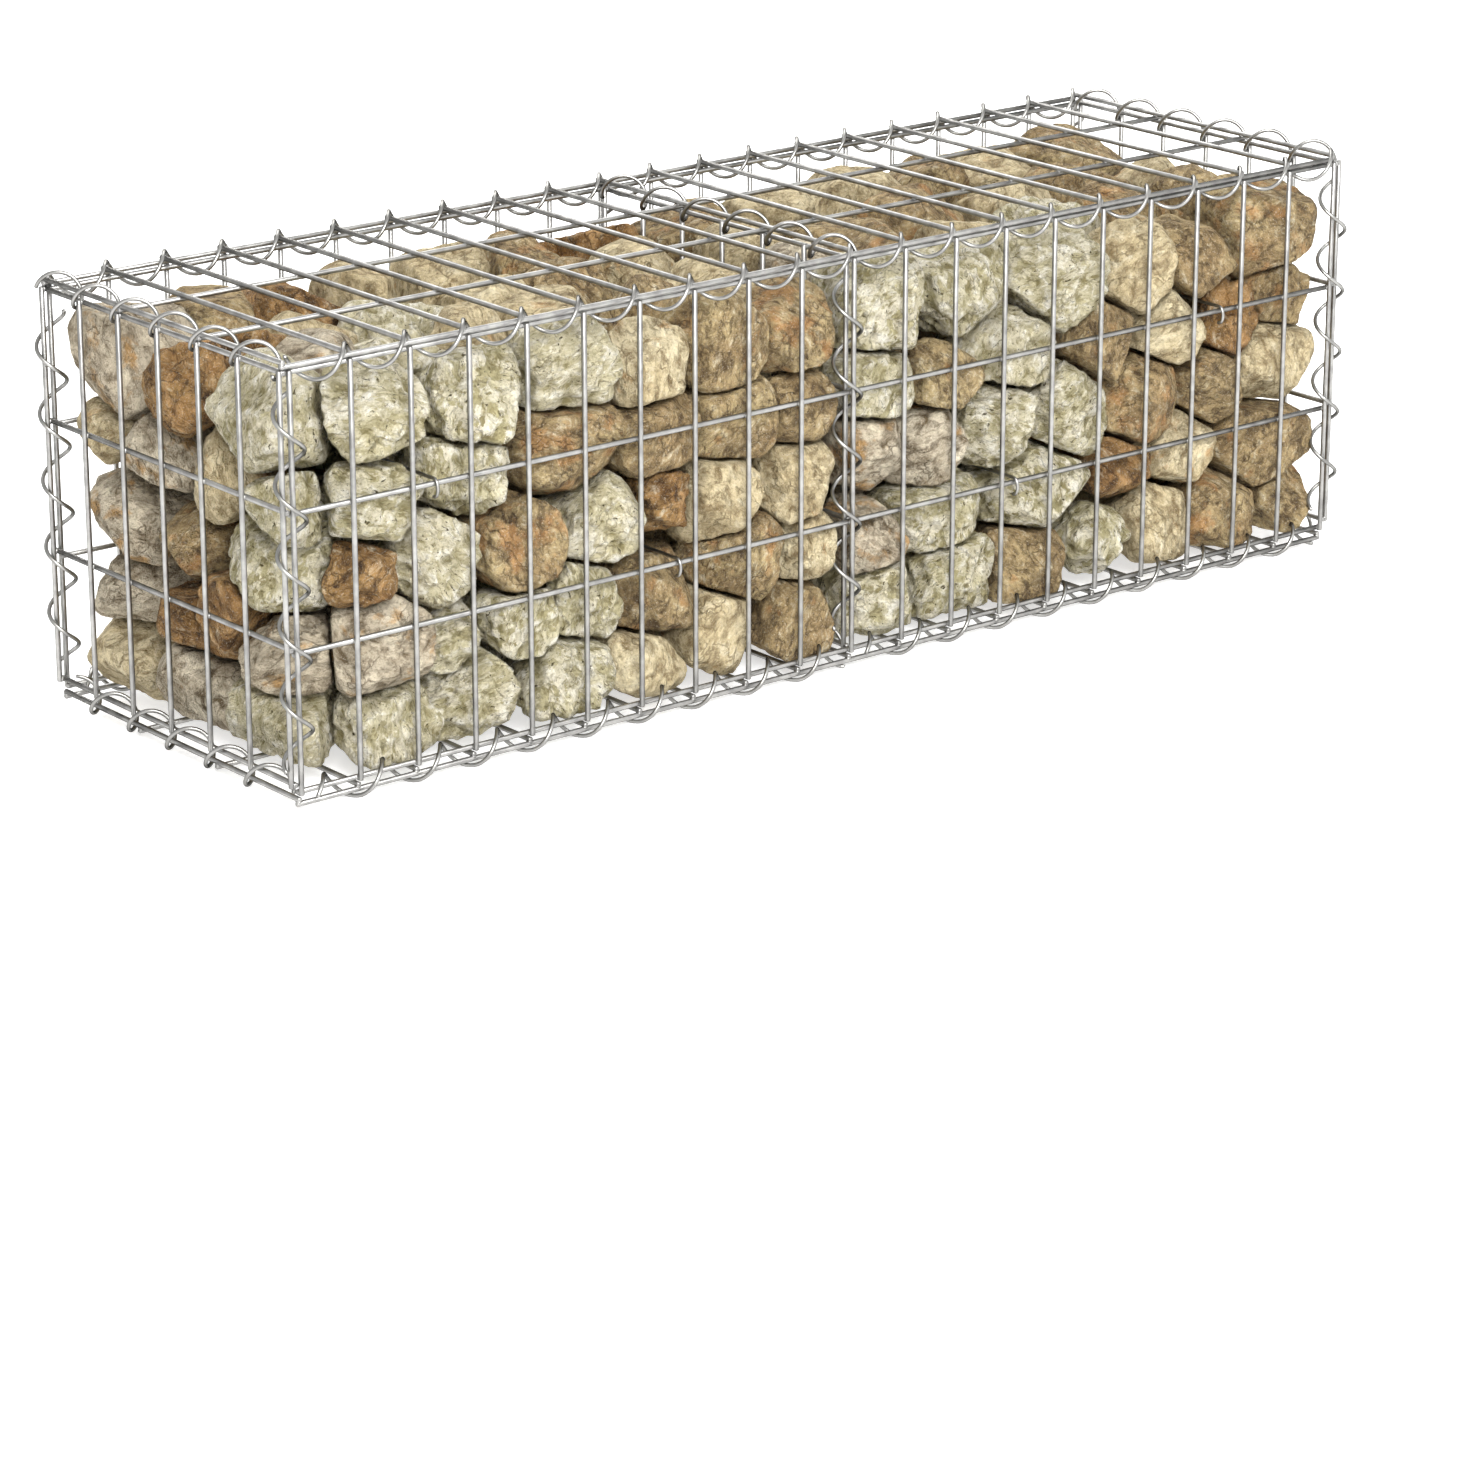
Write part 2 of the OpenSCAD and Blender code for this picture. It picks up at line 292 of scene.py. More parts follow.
X, Y, Z = 0, 1, 2
PANELS = [
    ("front_panel", Y, X, LONG_CELLS, -1), ("back_panel", Y, X, LONG_CELLS, 1),
    ("base_panel", Z, X, LONG_CELLS, 1), ("lid_panel", Z, X, LONG_CELLS, 1),
    ("left_end_panel", X, Y, DEEP_CELLS, -1), ("right_end_panel", X, Y, DEEP_CELLS, 1),
    ("divider_panel", X, Y, DEEP_CELLS, -1),
]
panels = [welded_panel(*p) for p in PANELS]
print("mesh panels:", [p.name for p in panels])

# %% [markdown]
# The lacing spirals are left-hand springs, screwed through the cells where two panels meet.
# Each makes one turn a cell, so their crests all come at the same place in every cell. A
# spiral is a tube along a helix with 28 points a turn, and the crest's place in the cell is
# what sets how it hangs on the wires. The top spirals of the ends and the divider run on
# into the corners and ride a little high, so they leave their CAD nodes' boxes.

# %% Lacing spirals
CELL = 50 * MM
SPIRAL_WIRE_R = 1.5 * MM
SPIRAL_R = 10.4 * MM
STEPS_PER_TURN = 28
SPIRAL_SIDES = 10
END_SHORT = -0.6 * SPIRAL_WIRE_R    # most spirals end just inside their node's box


def lacing(node, axis, crest_way, crest, end_reach=END_SHORT, rise=0.0):
    """A left-hand spiral along an axis through its CAD node's box, with crests that point
    along crest_way at the places crest, crest + one cell, and so on."""
    low, high = (np.array(c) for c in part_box(node))
    centre = (low + high) / 2
    along, up = np.eye(3)[axis], np.eye(3)[crest_way]
    across = np.cross(along, up)
    low[axis], high[axis] = low[axis] - end_reach, high[axis] + end_reach
    centre[Z] += rise
    steps = int((high[axis] - low[axis]) / CELL * STEPS_PER_TURN)
    s = np.linspace(low[axis], high[axis], steps)
    turn = -2 * np.pi * (s - crest) / CELL
    out = np.cos(turn)[:, None] * up + np.sin(turn)[:, None] * across
    path = s[:, None] * along + SPIRAL_R * out
    for other in {X, Y, Z} - {axis}:
        path[:, other] += centre[other]
    return joined(node + "_wire", [tube(path, SPIRAL_WIRE_R, SPIRAL_SIDES, out)],
                  drawn_spiral, node)


# Where the first crest lies, as a share of a cell
LONG_TOP_CREST, LONG_BOTTOM_CREST = -0.06, 0.40
TOP_CRESTS = {"left_end": 0.69, "divider": 0.42, "right_end": 0.46}
BOTTOM_CREST = 0.69
FRONT_POST_CREST = 0.83
BACK_POST_CRESTS = {"left_end": 0.55, "divider": 0.70, "right_end": 0.70}
TOP_END_REACH = 13 * MM     # how far the top cross spirals run on into the corners
TOP_RISE = 3 * MM           # and how high they ride on the mesh
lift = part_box("front_panel")[0].z + WIRE_R

spirals = []
for side in ("front", "back"):
    for bay in ("left", "right"):
        spirals.append(lacing(f"spiral_{side}_top_{bay}", X, Z, LONG_TOP_CREST * CELL))
        spirals.append(lacing(f"spiral_{side}_bottom_{bay}", X, Z, LONG_BOTTOM_CREST * CELL))
for place in ("left_end", "divider", "right_end"):
    spirals.append(lacing(f"spiral_{place}_top", Y, Z, TOP_CRESTS[place] * CELL,
                          TOP_END_REACH, TOP_RISE))
    spirals.append(lacing(f"spiral_{place}_bottom", Y, Z, BOTTOM_CREST * CELL))
    spirals.append(lacing(f"spiral_{place}_front", Z, X, lift + FRONT_POST_CREST * CELL))
    spirals.append(lacing(f"spiral_{place}_back", Z, X, lift + BACK_POST_CRESTS[place] * CELL))
print("lacing spirals:", len(spirals))

# %% [markdown]
# Four cross ties brace the front against the back, so that the stones don't push the mesh
# out. Each is a straight wire with its ends bent over a row wire into a short hook. The path
# is the CAD's own, rounded by a smooth curve through its bend.

# %% Cross ties
TIE_R = 1.3 * MM
TIE_SIDES = 10
LOOP_REACH = 4.4 * MM       # how far the hook's loop stands out from the row wire's middle
HOOK_TURN, HOOK_STEP = 195, 15          # degrees
HOOK_FROM, HOOK_TO = 6 * MM, 2 * MM     # the straight before the hook, from the row wire


def cross_tie(node):
    """A tie with a hooked tail at each end, from its CAD node's box."""
    low, high = (np.array(c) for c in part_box(node))
    x = (low[X] + high[X]) / 2
    top = high[Z] - TIE_R
    row_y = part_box("back_panel")[0].y + WIRE_R
    turn = np.radians(np.arange(0, HOOK_TURN + 1, HOOK_STEP))
    loop_z = (top + low[Z]) / 2 + TIE_R / 2
    loop_r = top - loop_z
    hook = [[x, -row_y + HOOK_FROM, top], [x, -row_y + HOOK_TO, top]]
    hook += [[x, -row_y - LOOP_REACH * math.sin(a), loop_z + loop_r * math.cos(a)]
             for a in turn]
    hook = np.array(hook[::-1])
    other = hook[::-1] * [1, -1, 1]
    path = np.vstack([hook, other])
    return joined(node + "_wire", [tube(path, TIE_R, TIE_SIDES, (1, 0, 0))], tie_steel, node)


TIES = ["tie_left_outer", "tie_left_inner", "tie_right_inner", "tie_right_outer"]
ties = [cross_tie(n) for n in TIES]
print("cross ties:", len(ties))

# %% [markdown]
# The fill is quarry stone of five kinds, hand-placed at the faces in rough courses, as a
# dry-stone wall is. Every stone could have its own coordinates, but a waller doesn't work
# that way: a course is a run of stones picked by kind and size, and each stone takes what
# room it needs. So a course is written as its stones in order, each a kind and a size word,
# and the stones share out the length of the course. Pale stones lie in a drift at the left
# of each bay and brown ones at its right.

# %% The courses of the front, from the top down, each from left to right
FRONT = {
    "left": [
        "pale large, pale large, pale large, tan middling, brown middling, brown middling",
        "pale middling, pale large, brown large, brown middling, brown middling, brown small",
        "rust small, pale large, brown large, pale large, rust small, tan large, tan middling",
        "rose large, pale small, pale middling, pale middling, brown large, brown large, tan small",
        "pale large, pale large, pale large, tan middling, tan large, brown middling"],
    "right": [
        "pale large, pale large, pale large, tan middling, brown middling, brown large",
        "pale middling, brown small, pale large, brown middling, tan middling, rust small, brown small",
        "rose middling, rose middling, pale large, pale large, brown large, brown middling, tan large",
        "rose small, pale large, pale large, rust small, tan middling, brown large",
        "pale large, pale large, brown large, pale middling, tan middling, brown large, brown small"],
}

# %% The courses of the left end, from the top down, each from front to back
LEFT_END = [
    "pale large, rust middling, rose large", "pale small, tan middling, rose middling, tan small",
    "pale large, brown middling, rose large", "rose small, rust middling, rose middling",
    "pale large, rose middling, tan large"]

# %% The rows of the top, each from left to right
TOP = {
    ("left", "back"): "brown large, rust large, tan middling, tan large, brown middling, rust large",
    ("left", "middle"): "rust small, tan middling, pale large, tan middling, brown middling, tan large",
    ("left", "front"): "rose large, pale middling, tan middling, tan large, brown middling, tan large",
    ("right", "back"): "brown large, tan middling, tan large, brown middling, tan large, brown large",
    ("right", "middle"): "tan large, brown middling, brown large, tan middling, brown large, tan small",
    ("right", "front"): "rose middling, brown large, tan middling, pale large, brown large, brown middling",
}

# %% Sharing out a course
SIZES = {"small": 56.0, "middling": 72.0, "large": 90.0}        # mm wide, before sharing out
TALLNESS = {"small": 0.88, "middling": 1.05, "large": 1.28}     # of the course's height


def course(text, start, end):
    """(kind, middle, half width, tallness) of each stone of a course from start to end."""
    picked = [stone.split() for stone in text.split(", ")]
    widths = np.array([SIZES[size] for kind, size in picked])
    widths *= (end - start) / widths.sum()
    middles = start + np.cumsum(widths) - widths / 2
    return [(kind, m, w / 2, TALLNESS[size])
            for (kind, size), m, w in zip(picked, middles, widths)]


# %% The room for the stones, in millimetres
END_ROOM, FACE_ROOM, FLOOR_ROOM = 4, 0.5, 0.4   # between stones and mesh
front_box = np.array([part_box("front_panel")[0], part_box("front_panel")[1]]) / MM
inner_low = np.array([front_box[0][X] + END_ROOM, front_box[1][Y] + FACE_ROOM,
                      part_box("base_panel")[1].z / MM + FLOOR_ROOM])
inner_high = np.array([front_box[1][X] - END_ROOM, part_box("back_panel")[0].y / MM - FACE_ROOM,
                       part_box("stones_left_upper")[1].z / MM])
DIVIDER_GAP = 6.0
CORNER_GAP = 48.0           # the front's courses leave the near left corner free
END_GAP = 10.0              # and the left end's stones stand back from the mesh
BAYS = {"left": (inner_low[X] + CORNER_GAP, -DIVIDER_GAP), "right": (DIVIDER_GAP, inner_high[X])}
END_FRONT = inner_low[Y] + 30.0
TOP_DEPTHS = {"front": -44.0, "middle": 28.0, "back": 104.0}
TOP_RISES = {"front": 4, "middle": 4, "back": 12}
print("room for stones, in mm:", inner_low.round(1), inner_high.round(1))

# %% Noting the stones
SEED = 11
random = np.random.default_rng(SEED)
stones = []


def lay(kind, middle, half, grade):
    """Notes one stone: its kind, middle and half sizes, and how closely it is seen."""
    stones.append({"kind": kind, "middle": np.array(middle, float),
                   "half": np.array(half, float), "grade": grade})


def levels(courses, top):
    """(text, height of its middle, half height) of each course from the top down."""
    half = (top - inner_low[Z]) / len(courses) / 2
    return [(text, top - (2 * i + 1) * half, half) for i, text in enumerate(courses)]


# %% Laying the courses
TALL_SPREAD = (0.92, 1.12)
SHIFT, TOP_SHIFT = 10, 8            # mm, up or down in a course, and in depth at the top
TOP_TALL, TOP_DEEP = 0.8, 0.9       # of a top stone's width

for side, courses in FRONT.items():
    for text, z, half_h in levels(courses, inner_high[Z]):
        for kind, x, half_w, tallness in course(text, *BAYS[side]):
            deep = 0.5 * (half_w + half_h)
            tall = half_h * tallness * random.uniform(*TALL_SPREAD)
            lay(kind, [x, inner_low[Y] + deep, z + random.uniform(-SHIFT, SHIFT)],
                [half_w, deep, tall], "near")
for text, z, half_h in levels(LEFT_END, inner_high[Z]):
    for kind, y, half_w, tallness in course(text, END_FRONT, inner_high[Y]):
        deep = 0.5 * (half_w + half_h)
        tall = half_h * tallness * random.uniform(*TALL_SPREAD)
        lay(kind, [inner_low[X] + END_GAP + deep, y, z + random.uniform(-SHIFT, SHIFT)],
            [deep, half_w, tall], "near")
for (side, row), text in TOP.items():
    for kind, x, half_w, _ in course(text, *BAYS[side]):
        tall = TOP_TALL * half_w
        y = TOP_DEPTHS[row] + random.uniform(-TOP_SHIFT, TOP_SHIFT)
        lay(kind, [x, y, inner_high[Z] + TOP_RISES[row] - tall],
            [half_w, TOP_DEEP * half_w, tall], "near")
print("stones laid by course:", len(stones))

# %% [markdown]
# The rest of the fill is laid by rule: candidate spots on a staggered grid, kept where no
# placed stone is near. The spots then push each other apart, the placed ones only a little,
# until they are spread as evenly as stones that were shaken into a basket. The kinds follow
# what lies nearest, so that pale and brown stones stay in their drifts.

# %% Filling up the basket
SPACING = np.array([62.0, 74.0, 60.0])
STAGGER, SPOT_SHIFT = 10, 7
CLEAR = 50                  # mm that a candidate keeps from the stones laid by course
CORNER_BACK = -75           # the free corner reaches back to this Y
DRIFT_BLUR = 60             # mm by which the drifts of kinds run into each other
FILLER_SIZE, FILLER_SPREAD = [66, 66, 62], (0.46, 0.56)

placed = np.array([s["middle"] for s in stones])
placed_kinds = [s["kind"] for s in stones]
room = inner_high - inner_low
counts = np.round(room / SPACING).astype(int)
for i, j, k in np.ndindex(*counts):
    spot = inner_low + (np.array([i, j, k]) + 0.5) * room / counts
    spot[X] += STAGGER if (j + k) % 2 else -STAGGER
    spot += random.uniform(-SPOT_SHIFT, SPOT_SHIFT, 3)
    apart = np.linalg.norm(placed - spot, axis=1)
    in_corner = spot[X] < BAYS["left"][0] + STAGGER and spot[Y] < CORNER_BACK
    if apart.min() < CLEAR or in_corner:
        continue
    nearest = placed_kinds[int(np.argmin(apart + random.uniform(0, DRIFT_BLUR, len(placed))))]
    half = random.uniform(*FILLER_SPREAD, 3) * FILLER_SIZE
    outside = j in (0, counts[Y] - 1) or i in (0, counts[X] - 1) or k == counts[Z] - 1
    lay(nearest, spot, half, "far" if outside else "hidden")

# %% Settling the stones
WALL_SHARE = 0.80           # of its half size that a stone's middle keeps from the mesh
HEADROOM = 14               # mm that the stones may rise over the CAD's flat top
TIE_CLEAR, TIE_DROP = 19, 1.3
PACKED, PUSH, HOMING = 0.92, 0.25, 0.12
COURSE_YIELD = 0.25         # how much a stone laid by course gives way
ROUNDS = 60

middle = np.array([s["middle"] for s in stones])
half = np.array([s["half"] for s in stones])
near = np.array([s["grade"] == "near" for s in stones])
yields = np.where(near, COURSE_YIELD, 1.0)[:, None]
home = middle.copy()
bay = np.where(middle[:, X] < 0, -1, 1)
tie_spots = [(sum(c[X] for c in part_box(n)) / 2 / MM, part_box(n)[1].z / MM - TIE_DROP)
             for n in TIES]


def keep_inside(middle):
    """Moves stones back between the panels and out of the ties' way."""
    room_to_wall = WALL_SHARE * half
    low = np.tile(inner_low, (len(middle), 1)) + room_to_wall
    high = np.tile(inner_high + [0, 0, HEADROOM], (len(middle), 1)) - room_to_wall
    low[bay > 0, X] = DIVIDER_GAP + room_to_wall[bay > 0, X]
    high[bay < 0, X] = -DIVIDER_GAP - room_to_wall[bay < 0, X]
    middle = np.clip(middle, low, high)
    for x, z in tie_spots:
        off = middle[:, [X, Z]] - [x, z]
        far = np.linalg.norm(off, axis=1, keepdims=True)
        push = np.clip(TIE_CLEAR - far, 0, None) * off / np.maximum(far, 1)
        middle[:, [X, Z]] += push
    return middle


for _ in range(ROUNDS):
    gap = middle[:, None] - middle[None]
    far = np.linalg.norm(gap, axis=2) + np.eye(len(middle)) * 1e3
    way = gap / far[..., None]
    reach = np.sqrt(((way * half[:, None]) ** 2).sum(2))
    wanted = PACKED * (reach + reach.T)
    push = np.clip(wanted - far, 0, None)[..., None] * way * PUSH
    homing = (home - middle) * np.where(near, HOMING, 0)[:, None]
    middle = middle + push.sum(1) * yields + homing
    middle = keep_inside(middle)
print("stones in all:", len(middle), "of them laid by course:", int(near.sum()))

# %% [markdown]
# Rock surfaces need noise with a real size, the same on every run. This is gradient noise:
# each corner of a lattice gets a random direction, and a point between them blends what the
# eight corners say. Points in millimetres, divided by the size wanted, give lumps that big.

# %% Gradient noise
shuffled = random.permutation(1024)
directions = random.normal(size=(1024, 3))
directions /= np.linalg.norm(directions, axis=1, keepdims=True)


def lumps(points):
    """Smooth noise between about -1 and 1, with features about one unit across."""
    cell = np.floor(points).astype(int)
    f = points - cell
    w = f * f * f * (f * (f * 6 - 15) + 10)
    total = np.zeros(len(points))
    for corner in np.ndindex(2, 2, 2):
        c = cell + corner
        pick = shuffled[c[:, 0] & 1023]
        pick = shuffled[(pick + c[:, 1]) & 1023]
        pick = shuffled[(pick + c[:, 2]) & 1023]
        weight = np.prod(np.where(corner, w, 1 - w), axis=1)
        total += weight * ((f - corner) * directions[pick]).sum(1)
    return total * 1.7


def to_nearest_spot(points):
    """Distance to the nearest of scattered spots, about one in each unit cube."""
    cell = np.floor(points).astype(int)
    nearest = np.full(len(points), 9.0)
    for corner in np.ndindex(3, 3, 3):
        c = cell + corner - 1
        pick = shuffled[c[:, 0] & 1023]
        pick = shuffled[(pick + c[:, 1]) & 1023]
        pick = shuffled[(pick + c[:, 2]) & 1023]
        spot = c + 0.5 + 0.48 * directions[pick]
        nearest = np.minimum(nearest, ((points - spot) ** 2).sum(1))
    return np.sqrt(nearest)


# %% [markdown]
# A stone starts as a ball of evenly spread directions: a twenty-sided solid with each side
# cut into small triangles. How many depends on how closely the stone is seen.

# %% Balls of directions
def ball(cuts):
    """Directions and triangles of an icosahedron with its sides cut this many times."""
    g = (1 + 5 ** 0.5) / 2
    tips = np.array([[-1, g, 0], [1, g, 0], [-1, -g, 0], [1, -g, 0], [0, -1, g], [0, 1, g],
                     [0, -1, -g], [0, 1, -g], [g, 0, -1], [g, 0, 1], [-g, 0, -1], [-g, 0, 1]])
    far = np.linalg.norm(tips[:, None] - tips[None], axis=2)
    sides = [(a, b, c) for a in range(12) for b in range(a + 1, 12) for c in range(b + 1, 12)
             if max(far[a, b], far[b, c], far[a, c]) < 2.1]
    points, triangles, known = [], [], {}

    def corner(spot):
        key = tuple(np.round(spot, 5))
        if key not in known:
            known[key] = len(points)
            points.append(spot / np.linalg.norm(spot))
        return known[key]

    for a, b, c in sides:
        if np.dot(np.cross(tips[b] - tips[a], tips[c] - tips[a]), tips[a]) < 0:
            b, c = c, b
        grid = {(i, j): corner(tips[a] + (tips[b] - tips[a]) * i / cuts
                               + (tips[c] - tips[a]) * j / cuts)
                for i in range(cuts + 1) for j in range(cuts + 1 - i)}
        for i in range(cuts):
            for j in range(cuts - i):
                triangles.append([grid[i, j], grid[i + 1, j], grid[i, j + 1]])
                if i + j < cuts - 1:
                    triangles.append([grid[i + 1, j], grid[i + 1, j + 1], grid[i, j + 1]])
    return np.array(points), np.array(triangles)


CUTS = {"near": 15, "far": 11, "hidden": 6}
balls = {grade: ball(cuts) for grade, cuts in CUTS.items()}
print("triangles a stone:", {grade: len(b[1]) for grade, b in balls.items()})

# %% [markdown]
# Each direction then gets a distance. A quarry stone is a lump split along a few planes, and
# in a basket it also keeps clear of its neighbours, the mesh and the ties. So the distance
# is the least that an egg shape, a handful of split faces and the planes between it and its
# neighbours allow, with a soft minimum that rounds the edges. A high power gives the sharp
# arrises of brown sandstone, a low one the worn shape of the pale stones.

# %% Shaping one stone
SHAPES = {  # edge power, split faces, their least and most reach, and depths in mm of the
    # chips, the lumps and the ledges
    "pale": (24, 14, 0.83, 1.12, 4.4, 2.8, 0.0),
    "tan": (34, 9, 0.78, 1.10, 1.7, 1.7, 0.8),
    "brown": (40, 9, 0.76, 1.08, 1.7, 1.5, 1.0),
    "rust": (44, 9, 0.70, 1.02, 2.4, 1.6, 1.8),
    "rose": (38, 9, 0.77, 1.08, 1.7, 1.5, 0.8)}
CHIP_MM = 14.0
SWELL = 1.38
FACE_FIRST = 1.18       # a stone laid by course takes this much more of the gap than a filler
JOINT = 0.2             # mm left between two stones
NEIGHBOUR_MM, NEIGHBOUR_SHARE = 130, 1.35   # how near a stone must be to set a plane
TOP_SWELL = 16          # mm that a stone may rise over the CAD's flat top
TIE_NEAR, TIE_HOLD = 60, 2.0
LEAST_REACH = 6.0
COARSE_MM, MIDDLING_MM, FINE_MM, BED_MM = 24, 10, 5, [40, 40, 6]
MIDDLING_FROM, FINE_FROM, BED_FROM = 31, 77, 3     # so that the noises don't line up
SCOOP_SIZE = 0.62
CUT_SHARE = 1.08
GRAIN_SPREAD = 400


def limits(i):
    """Normals and distances of the planes that stone i stays behind."""
    normals, reaches = [], []
    gap = middle - middle[i]
    far = np.linalg.norm(gap, axis=1)
    for j in np.nonzero((far > 0) & (far < NEIGHBOUR_MM))[0]:
        way = gap[j] / far[j]
        mine, its = (np.linalg.norm(way * half[k]) * (FACE_FIRST if near[k] else 1)
                     for k in (i, j))
        if far[j] < NEIGHBOUR_SHARE * (mine + its):
            normals.append(way)
            reaches.append(far[j] * mine / (mine + its) - JOINT)
    walls = np.array([inner_low, inner_high + [0, 0, TOP_SWELL]])
    if bay[i] < 0:
        walls[1, X] = -DIVIDER_GAP
    else:
        walls[0, X] = DIVIDER_GAP
    for axis in (X, Y, Z):
        for sign, wall in ((-1, walls[0]), (1, walls[1])):
            normals.append(sign * np.eye(3)[axis])
            reaches.append(sign * (wall[axis] - middle[i, axis]))
    for x, z in tie_spots:
        off = np.array([x - middle[i, X], 0, z - middle[i, Z]])
        away = np.linalg.norm(off)
        if away < TIE_NEAR:
            normals.append(off / away)
            reaches.append(away - TIE_HOLD)
    return np.array(normals), np.maximum(reaches, LEAST_REACH)


def rock(i):
    """Points, triangles, grain coordinates and wear with painted light of stone i, in millimetres."""
    power, splits, least, most, chip, lump, ledge = SHAPES[stones[i]["kind"]]
    way, triangles = balls[stones[i]["grade"]]
    own = np.random.default_rng(SEED * 1000 + i)
    turn = np.linalg.qr(own.normal(size=(3, 3)))[0]
    egg = 1 / np.linalg.norm(way / (half[i] * SWELL), axis=1)
    normals, reaches = limits(i)
    cuts = own.normal(size=(splits, 3))
    cuts /= np.linalg.norm(cuts, axis=1, keepdims=True)
    cut_reach = np.linalg.norm(cuts * half[i], axis=1) * own.uniform(least, most, splits)
    cut_reach *= CUT_SHARE
    normals, reaches = np.vstack([normals, cuts]), np.concatenate([reaches, cut_reach])
    closeness = np.clip(way @ normals.T, 0, None) / reaches
    far = ((1 / egg) ** power + (closeness ** power).sum(1)) ** (-1 / power)
    place = way * far[:, None]
    grain = place @ turn + own.uniform(-GRAIN_SPREAD, GRAIN_SPREAD, 3)
    coarse = lumps(grain / COARSE_MM)
    middling = lumps(grain / MIDDLING_MM + MIDDLING_FROM)
    fine = lumps(grain / FINE_MM + FINE_FROM)
    warped = grain / CHIP_MM + 0.35 * coarse[:, None] + 0.12 * middling[:, None]
    scoop = np.clip(1 - (to_nearest_spot(warped) / SCOOP_SIZE) ** 2, 0, 1)
    beds = lumps(grain / BED_MM + BED_FROM + 0.3 * coarse[:, None])
    depth = chip * scoop + lump * (0.5 * (1 - coarse) / 2 + 0.3 * (1 - middling) / 2)
    depth += 0.2 * lump * (1 - fine) / 2 + ledge * np.clip(beds * 2.5, -1, 1) / 2 + ledge / 2
    place = way * (far - depth)[:, None]
    # Lighter on ridges and darker in the chips' hollows: partly wear and dirt, partly painted highlight and
    # painted shade.
    wear_and_painted_light = np.clip(0.72 - 0.55 * scoop + 0.3 * middling + 0.2 * fine, 0, 1)
    return middle[i] + place, triangles, grain, wear_and_painted_light


print("first stone:", stones[0]["kind"], "size in mm", np.ptp(rock(0)[0], axis=0).round())

# %% [markdown]
# The stones get five finishes. All are bare broken rock: dull, rough and without gloss, so
# the roughness is high and the reflection low. What tells them apart is colour and the size
# and direction of their pattern. Each stone carries its own grain coordinates, so that its
# pattern has its own direction and no two are alike, and a tint with its tone, its rust and
# a lightness that is high on ridges and low in hollows: partly wear and dirt, partly painted
# highlight on the ridges and painted shade in the hollows.

# %% Stone finishes
STONE_SHEEN = 0.3


def stone_base(name):
    """A new material with the grain coordinates and the tint's three numbers."""
    m = new_material(name)
    grain = add(m, "ShaderNodeAttribute", attribute_name="grain").outputs["Vector"]
    tint = add(m, "ShaderNodeAttribute", attribute_name="tint").outputs["Color"]
    parts = add(m, "ShaderNodeSeparateColor", {"Color": tint}).outputs
    return m, grain, parts["Red"], parts["Green"], parts["Blue"]


def pattern(m, place, size_mm, detail, rough, bend=0.0):
    """Noise with features of this size. Bend twists them."""
    return add(m, "ShaderNodeTexNoise", {
        "Vector": place, "Scale": per_metre(size_mm), "Detail": detail, "Roughness": rough,
        "Distortion": bend}).outputs["Fac"]


def between(m, value, low, high):
    """0 where the value is low or less, 1 where it is high or more."""
    return add(m, "ShaderNodeMapRange", {
        "Value": value, "From Min": low, "From Max": high}).outputs["Result"]


def blend(m, share, a, b):
    """Colour a turned into colour b by a share."""
    a = linear(a) if isinstance(a, str) else a
    b = linear(b) if isinstance(b, str) else b
    return add(m, "ShaderNodeMix", {0: share, MIX_A: a, MIX_B: b},
               data_type="RGBA").outputs[MIX_OUT]


def sum_of(m, a, share_a, b, share_b):
    """Two numbers, each times its share, added."""
    part = add(m, "ShaderNodeMath", {0: b, 1: share_b}, operation="MULTIPLY").outputs[0]
    return add(m, "ShaderNodeMath", {0: a, 1: share_a, 2: part},
               operation="MULTIPLY_ADD").outputs[0]


def plates(m, place, size_mm, wander_mm):
    """Broken plates of this size: a height that leans each its own way, and a number of
    its own for each plate, from 0 to 1."""
    wander = add(m, "ShaderNodeTexNoise", {
        "Vector": place, "Scale": per_metre(size_mm * 1.2), "Detail": 4.0,
        "Roughness": 0.6}).outputs["Color"]
    reach = add(m, "ShaderNodeVectorMath", {0: wander, 1: [wander_mm * MM] * 3},
                operation="MULTIPLY").outputs[0]
    moved = add(m, "ShaderNodeVectorMath", {0: place, 1: reach}, operation="ADD").outputs[0]
    cell = add(m, "ShaderNodeTexVoronoi", {"Vector": moved, "Scale": per_metre(size_mm)})
    inside = add(m, "ShaderNodeVectorMath", {0: moved, 1: cell.outputs["Position"]},
                 operation="SUBTRACT").outputs[0]
    lean = add(m, "ShaderNodeVectorMath", {0: cell.outputs["Color"], 1: (0.5, 0.5, 0.5)},
               operation="SUBTRACT").outputs[0]
    height = add(m, "ShaderNodeVectorMath", {0: inside, 1: lean},
                 operation="DOT_PRODUCT").outputs["Value"]
    share = add(m, "ShaderNodeMath", {0: height, 1: per_metre(size_mm)},
                operation="MULTIPLY").outputs[0]
    own = add(m, "ShaderNodeSeparateColor", {"Color": cell.outputs["Color"]}).outputs["Red"]
    return share, own


def crack_lines(m, place, size_mm, width, wander_mm):
    """1 along thin wandering cracks around pieces of this size, and 0 between them."""
    wander = add(m, "ShaderNodeTexNoise", {
        "Vector": place, "Scale": per_metre(size_mm * 0.7), "Detail": 4.0}).outputs["Color"]
    reach = add(m, "ShaderNodeVectorMath", {0: wander, 1: [wander_mm * MM] * 3},
                operation="MULTIPLY").outputs[0]
    moved = add(m, "ShaderNodeVectorMath", {0: place, 1: reach}, operation="ADD").outputs[0]
    edge = add(m, "ShaderNodeTexVoronoi", {"Vector": moved, "Scale": per_metre(size_mm)},
               feature="DISTANCE_TO_EDGE").outputs["Distance"]
    broken = between(m, pattern(m, place, size_mm, 2.0, 0.5), 0.44, 0.58)
    line = between(m, edge, width, 0.0)
    return add(m, "ShaderNodeMath", {0: line, 1: broken}, operation="MULTIPLY").outputs[0]


